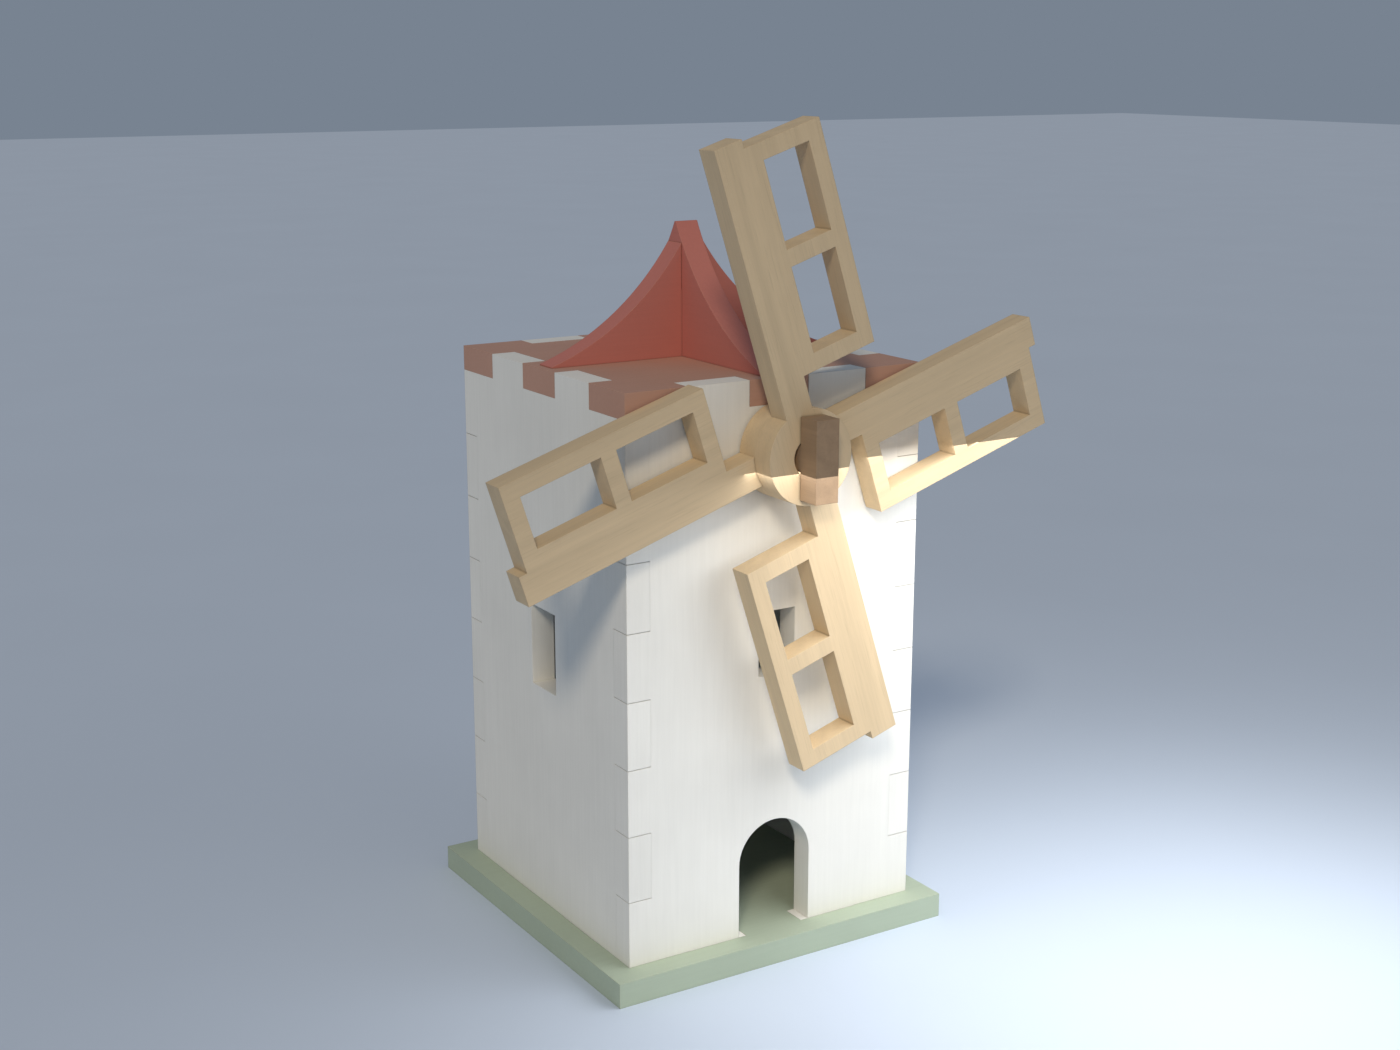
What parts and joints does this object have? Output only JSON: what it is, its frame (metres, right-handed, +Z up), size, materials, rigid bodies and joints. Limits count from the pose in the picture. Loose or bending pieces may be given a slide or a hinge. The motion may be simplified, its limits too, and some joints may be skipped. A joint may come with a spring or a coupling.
{
  "type": "model windmill",
  "caption": "Square tower windmill model slotted together from flat panels, with an arched doorway, a crossed-fin roof and framed sails that turn on a T-shaped axle.",
  "frame": {"origin": "centre of the base plate's underside", "axes": "+X to the right seen from the front, +Y to the back, +Z up; the door and the sails face -Y"},
  "size_m": [0.1472, 0.1049, 0.1975],
  "materials": {
    "base_green": "matt painted wood sheet",
    "wall_white": "matt painted wood sheet",
    "deck_brown": "matt painted wood sheet",
    "roof_red": "matt painted wood sheet",
    "axle_brown": "matt stained wood sheet",
    "sail_tan": "matt bare wood sheet"
  },
  "bodies": {
    "house": {"base_plate": "base_green", "front_wall": "wall_white", "back_wall": "wall_white", "left_wall": "wall_white", "right_wall": "wall_white", "roof_deck": "deck_brown", "roof_fin_sideways": "roof_red", "roof_fin_lengthways": "roof_red", "axle_pin": "axle_brown"},
    "sails": {"front_sails": "sail_tan", "rear_sails": "sail_tan"}
  },
  "joints": [
    {"name": "sails_spin", "type": "hinge", "parent": "house", "child": "sails", "pos_m": [0, -0.0467, 0.1239], "axis": [0, -1, 0], "continuous": true}
  ]
}
